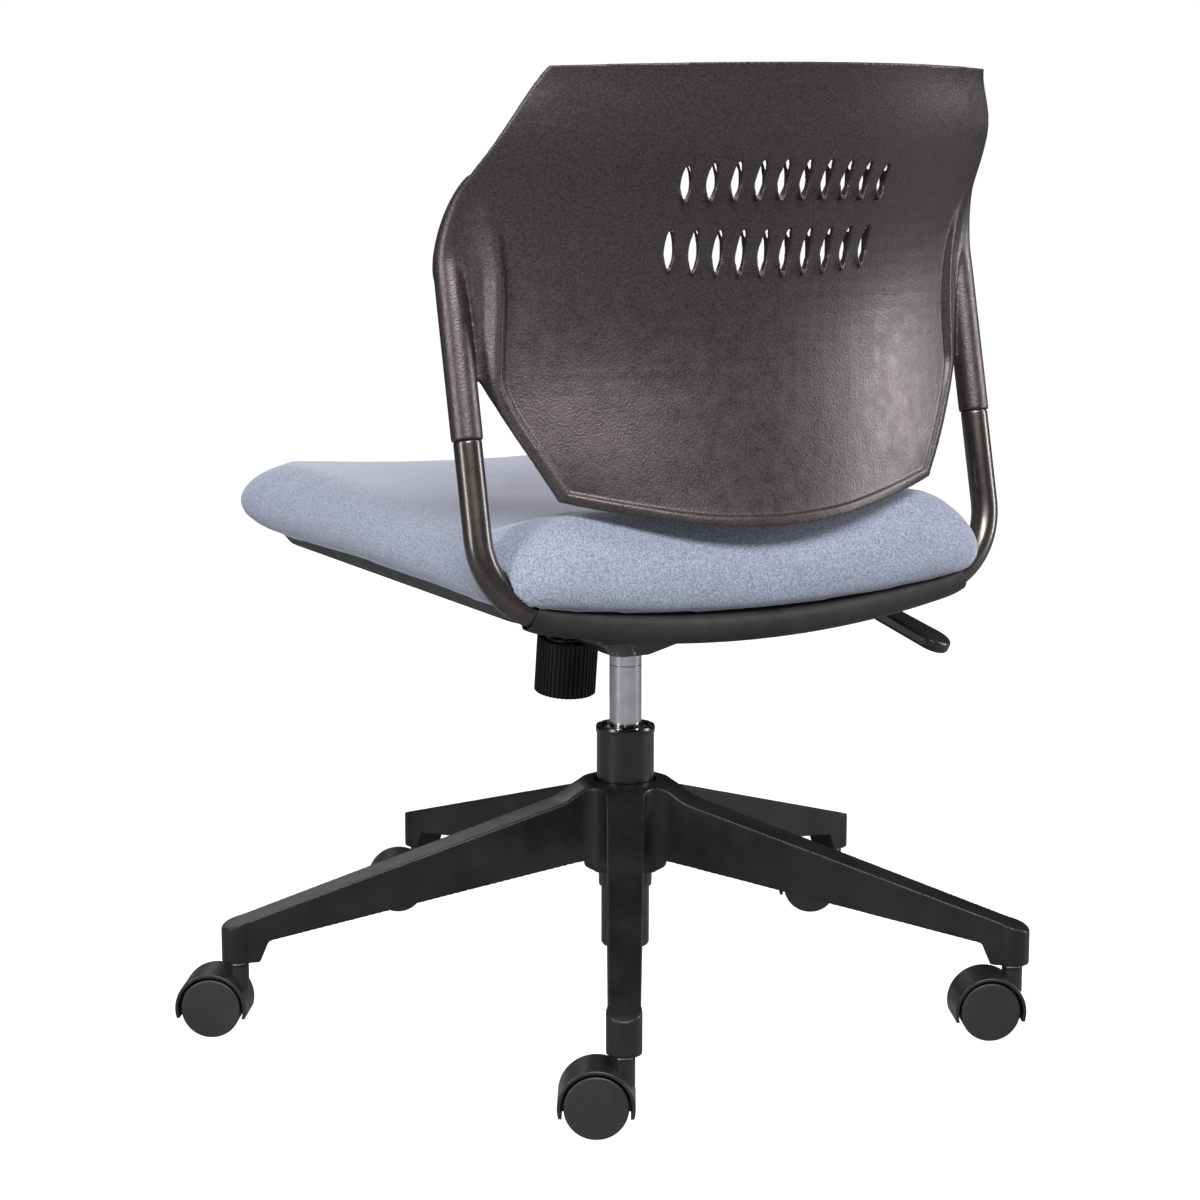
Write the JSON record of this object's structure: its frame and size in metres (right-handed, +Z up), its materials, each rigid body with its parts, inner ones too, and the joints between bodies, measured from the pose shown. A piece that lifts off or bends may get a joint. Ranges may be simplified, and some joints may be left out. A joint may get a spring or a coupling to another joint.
{
  "type": "swivel office chair",
  "caption": "Armless swivel task chair: curved slotted plastic back on a bent tube frame, padded fabric seat, tilt mechanism, gas lift and star base on twin-wheel casters.",
  "frame": {"origin": "on the floor under the gas lift's axis", "axes": "+Z up, -Y the way the sitter faces, +X the sitter's left"},
  "size_m": [0.7198, 0.7042, 0.805],
  "materials": {
    "base_plastic": "satin black glass-filled nylon",
    "caster_plastic": "semi-gloss black nylon",
    "wheel_plastic": "satin black nylon",
    "zinc_steel": "zinc-plated steel",
    "black_paint": "black powder coat",
    "guide_plastic": "dark acetal",
    "chrome_steel": "hard-chromed ground steel",
    "spring_steel": "oiled spring steel",
    "lever_plastic": "semi-gloss black nylon",
    "plywood": "raw beech plywood",
    "foam": "moulded polyurethane foam",
    "seat_fabric": "blue-grey woven upholstery",
    "pan_plastic": "satin black polypropylene",
    "tube_paint": "satin dark bronze-black paint",
    "shell_plastic": "stippled charcoal polypropylene",
    "knob_plastic": "satin black nylon"
  },
  "bodies": {
    "base": {"star_base": "base_plastic", "caster_sockets": "zinc_steel", "column_tube": "black_paint", "column_guide": "guide_plastic", "column_collar": "black_paint", "wiper_ring": "zinc_steel", "thrust_bearing": "zinc_steel"},
    "lift_rod": {"piston_rod": "chrome_steel", "rod_clip": "zinc_steel", "piston_head": "guide_plastic"},
    "column": {"pressure_cylinder": "chrome_steel", "cylinder_gland": "guide_plastic", "taper_socket": "zinc_steel", "mechanism_housing": "black_paint", "tilt_axle": "zinc_steel", "tension_spring": "spring_steel"},
    "valve": {"valve_pin": "zinc_steel"},
    "lock_carrier": {"lever_bush": "guide_plastic", "tilt_lock_bar": "zinc_steel"},
    "lever": {"lever_rod": "black_paint", "lever_finger": "zinc_steel", "lever_paddle": "lever_plastic"},
    "seat": {"seat_plate": "black_paint", "tilt_bushes": "guide_plastic", "seat_board": "plywood", "board_nuts": "zinc_steel", "plate_bolts": "zinc_steel", "seat_foam": "foam", "seat_cover": "seat_fabric", "seat_pan": "pan_plastic", "pan_screws": "zinc_steel", "back_tube": "tube_paint", "tube_brackets": "black_paint", "bracket_screws": "zinc_steel", "back_shell": "shell_plastic", "back_screws": "zinc_steel", "tension_nut": "zinc_steel"},
    "tension_follower": {"tension_washer": "zinc_steel"},
    "tension_control": {"tension_knob": "knob_plastic", "tension_bolt": "zinc_steel"},
    "caster_1": {"caster_1_hood": "caster_plastic", "caster_1_stem": "zinc_steel"},
    "caster_1_roll": {"caster_1_wheels": "wheel_plastic", "caster_1_axle": "zinc_steel"},
    "caster_2": {"caster_2_hood": "caster_plastic", "caster_2_stem": "zinc_steel"},
    "caster_2_roll": {"caster_2_wheels": "wheel_plastic", "caster_2_axle": "zinc_steel"},
    "caster_3": {"caster_3_hood": "caster_plastic", "caster_3_stem": "zinc_steel"},
    "caster_3_roll": {"caster_3_wheels": "wheel_plastic", "caster_3_axle": "zinc_steel"},
    "caster_4": {"caster_4_hood": "caster_plastic", "caster_4_stem": "zinc_steel"},
    "caster_4_roll": {"caster_4_wheels": "wheel_plastic", "caster_4_axle": "zinc_steel"},
    "caster_5": {"caster_5_hood": "caster_plastic", "caster_5_stem": "zinc_steel"},
    "caster_5_roll": {"caster_5_wheels": "wheel_plastic", "caster_5_axle": "zinc_steel"}
  },
  "joints": [
    {"name": "swivel", "type": "hinge", "parent": "base", "child": "lift_rod", "pos_m": [0, 0, 0.059], "axis": [0, 0, 1], "continuous": true},
    {"name": "height", "type": "slide", "parent": "lift_rod", "child": "column", "axis": [0, 0, 1], "range_m": [-0.055, 0.065]},
    {"name": "valve_press", "type": "slide", "parent": "column", "child": "valve", "axis": [0, 0, -1], "range_m": [0, 0.003]},
    {"name": "tilt_lock", "type": "slide", "parent": "column", "child": "lock_carrier", "axis": [-1, 0, 0], "range_m": [-0.012, 0]},
    {"name": "lever_lift", "type": "hinge", "parent": "lock_carrier", "child": "lever", "pos_m": [-0.06, 0.016, 0.351], "axis": [1, 0, 0], "range_deg": [0, 10], "stiffness_Nm_per_rad": 1.2, "springref_deg": -8.59},
    {"name": "tilt", "type": "hinge", "parent": "column", "child": "seat", "pos_m": [0, -0.035, 0.352], "axis": [-1, 0, 0], "range_deg": [0, 11], "stiffness_Nm_per_rad": 70, "springref_deg": -17.19, "deforming": ["tension_spring"]},
    {"name": "tension_travel", "type": "slide", "parent": "seat", "child": "tension_follower", "axis": [0, 0.1305, 0.9914], "range_m": [-0.0046, 0.0016], "deforming": ["tension_spring"]},
    {"name": "tension_turn", "type": "hinge", "parent": "tension_follower", "child": "tension_control", "pos_m": [0, -0.115, 0.253], "axis": [0, 0.1305, 0.9914], "range_deg": [-1080, 360]},
    {"name": "caster_1_swivel", "type": "hinge", "parent": "base", "child": "caster_1", "pos_m": [0.16419, 0.30115, 0.07], "axis": [0, 0, 1], "continuous": true},
    {"name": "caster_1_spin", "type": "hinge", "parent": "caster_1", "child": "caster_1_roll", "pos_m": [0.18265, 0.29113, 0.025], "axis": [0.4772, 0.8788, 0], "continuous": true},
    {"name": "caster_2_swivel", "type": "hinge", "parent": "base", "child": "caster_2", "pos_m": [-0.23567, 0.24921, 0.07], "axis": [0, 0, 1], "continuous": true},
    {"name": "caster_2_spin", "type": "hinge", "parent": "caster_2", "child": "caster_2_roll", "pos_m": [-0.21656, 0.24051, 0.025], "axis": [0.4147, 0.91, 0], "continuous": true},
    {"name": "caster_3_swivel", "type": "hinge", "parent": "base", "child": "caster_3", "pos_m": [-0.30984, -0.14713, 0.07], "axis": [0, 0, 1], "continuous": true},
    {"name": "caster_3_spin", "type": "hinge", "parent": "caster_3", "child": "caster_3_roll", "pos_m": [-0.29233, -0.15871, 0.025], "axis": [0.5519, 0.8339, 0], "continuous": true},
    {"name": "caster_4_swivel", "type": "hinge", "parent": "base", "child": "caster_4", "pos_m": [0.04418, -0.34014, 0.07], "axis": [0, 0, 1], "continuous": true},
    {"name": "caster_4_spin", "type": "hinge", "parent": "caster_4", "child": "caster_4_roll", "pos_m": [0.06313, -0.34918, 0.025], "axis": [0.4305, 0.9026, 0], "continuous": true},
    {"name": "caster_5_swivel", "type": "hinge", "parent": "base", "child": "caster_5", "pos_m": [0.33715, -0.06309, 0.07], "axis": [0, 0, 1], "continuous": true},
    {"name": "caster_5_spin", "type": "hinge", "parent": "caster_5", "child": "caster_5_roll", "pos_m": [0.35505, -0.07407, 0.025], "axis": [0.5225, 0.8526, 0], "continuous": true}
  ],
  "couplings": [
    {"joint": "valve_press", "follows": "lever_lift", "m_per_rad": 0.0165},
    {"joint": "tension_travel", "follows": "tension_turn", "m_per_rad": 0.00023873}
  ]
}
